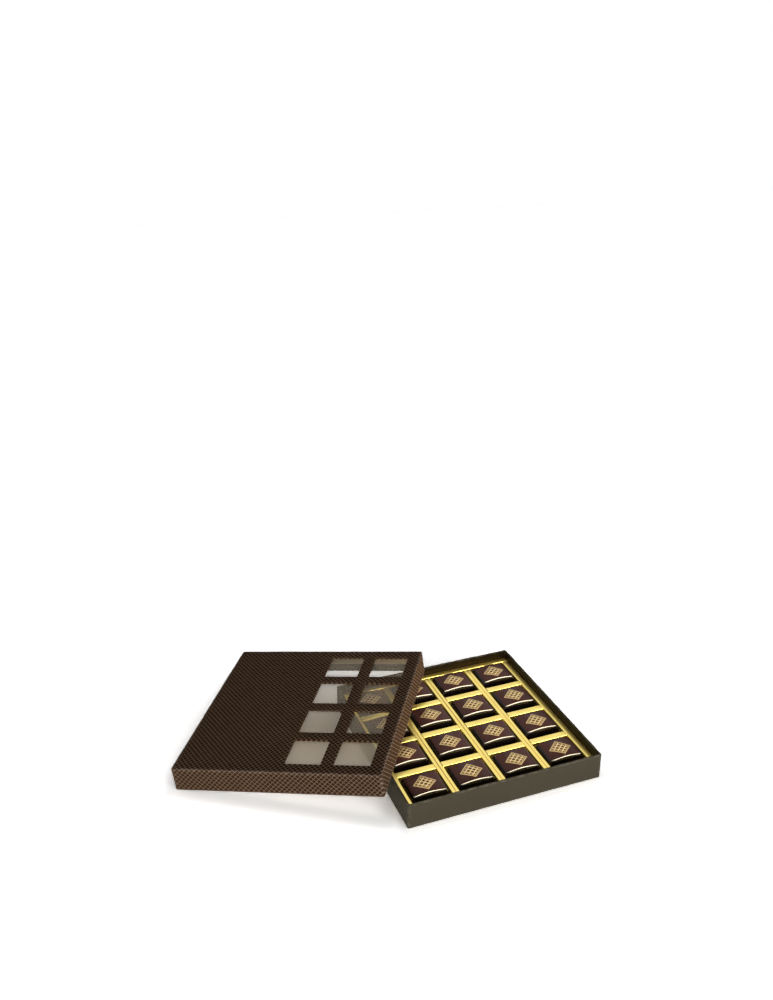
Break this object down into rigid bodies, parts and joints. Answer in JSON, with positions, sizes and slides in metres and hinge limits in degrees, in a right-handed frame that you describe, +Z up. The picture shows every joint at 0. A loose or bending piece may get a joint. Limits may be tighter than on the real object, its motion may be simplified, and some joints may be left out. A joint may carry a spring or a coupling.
{
  "type": "box of chocolates",
  "caption": "Square paper-covered box of wrapped chocolates in a gold card divider grid, with a windowed lid lifted off and leaning across a corner of the tray.",
  "frame": {"origin": "centre of the tray's underside, on the table", "axes": "+X along the tray's front wall to the right, +Y to its back wall, +Z up"},
  "size_m": [0.329, 0.2554, 0.0467],
  "materials": {
    "grey_board": "matte",
    "olive_paper": "matte",
    "patterned_paper": "satin",
    "dark_lining": "matte",
    "kraft_lining": "matte",
    "gold_card": "metallic gold",
    "chocolate": "satin",
    "wrapper": "gloss",
    "clear_film": "clear"
  },
  "bodies": {
    "tray": {"tray_board": "grey_board", "tray_wrap": "olive_paper", "tray_floor_lining": "dark_lining", "divider_long_1": "gold_card", "divider_long_2": "gold_card", "divider_long_3": "gold_card", "divider_cross_1": "gold_card", "divider_cross_2": "gold_card", "divider_cross_3": "gold_card", "border_front": "gold_card", "border_back": "gold_card", "border_left": "gold_card", "border_right": "gold_card"},
    "lid": {"lid_board": "grey_board", "lid_wrap": "patterned_paper", "lid_window_film": "clear_film", "lid_lining": "kraft_lining"},
    "sweet_r1c1": {"chocolate_r1c1": "chocolate", "wrapper_r1c1": "wrapper"},
    "sweet_r1c2": {"chocolate_r1c2": "chocolate", "wrapper_r1c2": "wrapper"},
    "sweet_r1c3": {"chocolate_r1c3": "chocolate", "wrapper_r1c3": "wrapper"},
    "sweet_r1c4": {"chocolate_r1c4": "chocolate", "wrapper_r1c4": "wrapper"},
    "sweet_r2c1": {"chocolate_r2c1": "chocolate", "wrapper_r2c1": "wrapper"},
    "sweet_r2c2": {"chocolate_r2c2": "chocolate", "wrapper_r2c2": "wrapper"},
    "sweet_r2c3": {"chocolate_r2c3": "chocolate", "wrapper_r2c3": "wrapper"},
    "sweet_r2c4": {"chocolate_r2c4": "chocolate", "wrapper_r2c4": "wrapper"},
    "sweet_r3c1": {"chocolate_r3c1": "chocolate", "wrapper_r3c1": "wrapper"},
    "sweet_r3c2": {"chocolate_r3c2": "chocolate", "wrapper_r3c2": "wrapper"},
    "sweet_r3c3": {"chocolate_r3c3": "chocolate", "wrapper_r3c3": "wrapper"},
    "sweet_r3c4": {"chocolate_r3c4": "chocolate", "wrapper_r3c4": "wrapper"},
    "sweet_r4c1": {"chocolate_r4c1": "chocolate", "wrapper_r4c1": "wrapper"},
    "sweet_r4c2": {"chocolate_r4c2": "chocolate", "wrapper_r4c2": "wrapper"},
    "sweet_r4c3": {"chocolate_r4c3": "chocolate", "wrapper_r4c3": "wrapper"},
    "sweet_r4c4": {"chocolate_r4c4": "chocolate", "wrapper_r4c4": "wrapper"}
  },
  "joints": [
    {"name": "lid_lift", "type": "slide", "parent": "tray", "child": "lid", "axis": [0, 0, 1], "range_m": [0, 0.12]},
    {"name": "sweet_r1c1_lift", "type": "slide", "parent": "tray", "child": "sweet_r1c1", "axis": [0, 0, 1], "range_m": [0, 0.04]},
    {"name": "sweet_r1c2_lift", "type": "slide", "parent": "tray", "child": "sweet_r1c2", "axis": [0, 0, 1], "range_m": [0, 0.04]},
    {"name": "sweet_r1c3_lift", "type": "slide", "parent": "tray", "child": "sweet_r1c3", "axis": [0, 0, 1], "range_m": [0, 0.04]},
    {"name": "sweet_r1c4_lift", "type": "slide", "parent": "tray", "child": "sweet_r1c4", "axis": [0, 0, 1], "range_m": [0, 0.04]},
    {"name": "sweet_r2c1_lift", "type": "slide", "parent": "tray", "child": "sweet_r2c1", "axis": [0, 0, 1], "range_m": [0, 0.005]},
    {"name": "sweet_r2c2_lift", "type": "slide", "parent": "tray", "child": "sweet_r2c2", "axis": [0, 0, 1], "range_m": [0, 0.04]},
    {"name": "sweet_r2c3_lift", "type": "slide", "parent": "tray", "child": "sweet_r2c3", "axis": [0, 0, 1], "range_m": [0, 0.04]},
    {"name": "sweet_r2c4_lift", "type": "slide", "parent": "tray", "child": "sweet_r2c4", "axis": [0, 0, 1], "range_m": [0, 0.04]},
    {"name": "sweet_r3c1_lift", "type": "slide", "parent": "tray", "child": "sweet_r3c1", "axis": [0, 0, 1], "range_m": [0, 0.007]},
    {"name": "sweet_r3c2_lift", "type": "slide", "parent": "tray", "child": "sweet_r3c2", "axis": [0, 0, 1], "range_m": [0, 0.007]},
    {"name": "sweet_r3c3_lift", "type": "slide", "parent": "tray", "child": "sweet_r3c3", "axis": [0, 0, 1], "range_m": [0, 0.04]},
    {"name": "sweet_r3c4_lift", "type": "slide", "parent": "tray", "child": "sweet_r3c4", "axis": [0, 0, 1], "range_m": [0, 0.04]},
    {"name": "sweet_r4c1_lift", "type": "slide", "parent": "tray", "child": "sweet_r4c1", "axis": [0, 0, 1], "range_m": [0, 0.0185]},
    {"name": "sweet_r4c2_lift", "type": "slide", "parent": "tray", "child": "sweet_r4c2", "axis": [0, 0, 1], "range_m": [0, 0.006]},
    {"name": "sweet_r4c3_lift", "type": "slide", "parent": "tray", "child": "sweet_r4c3", "axis": [0, 0, 1], "range_m": [0, 0.04]},
    {"name": "sweet_r4c4_lift", "type": "slide", "parent": "tray", "child": "sweet_r4c4", "axis": [0, 0, 1], "range_m": [0, 0.04]}
  ]
}
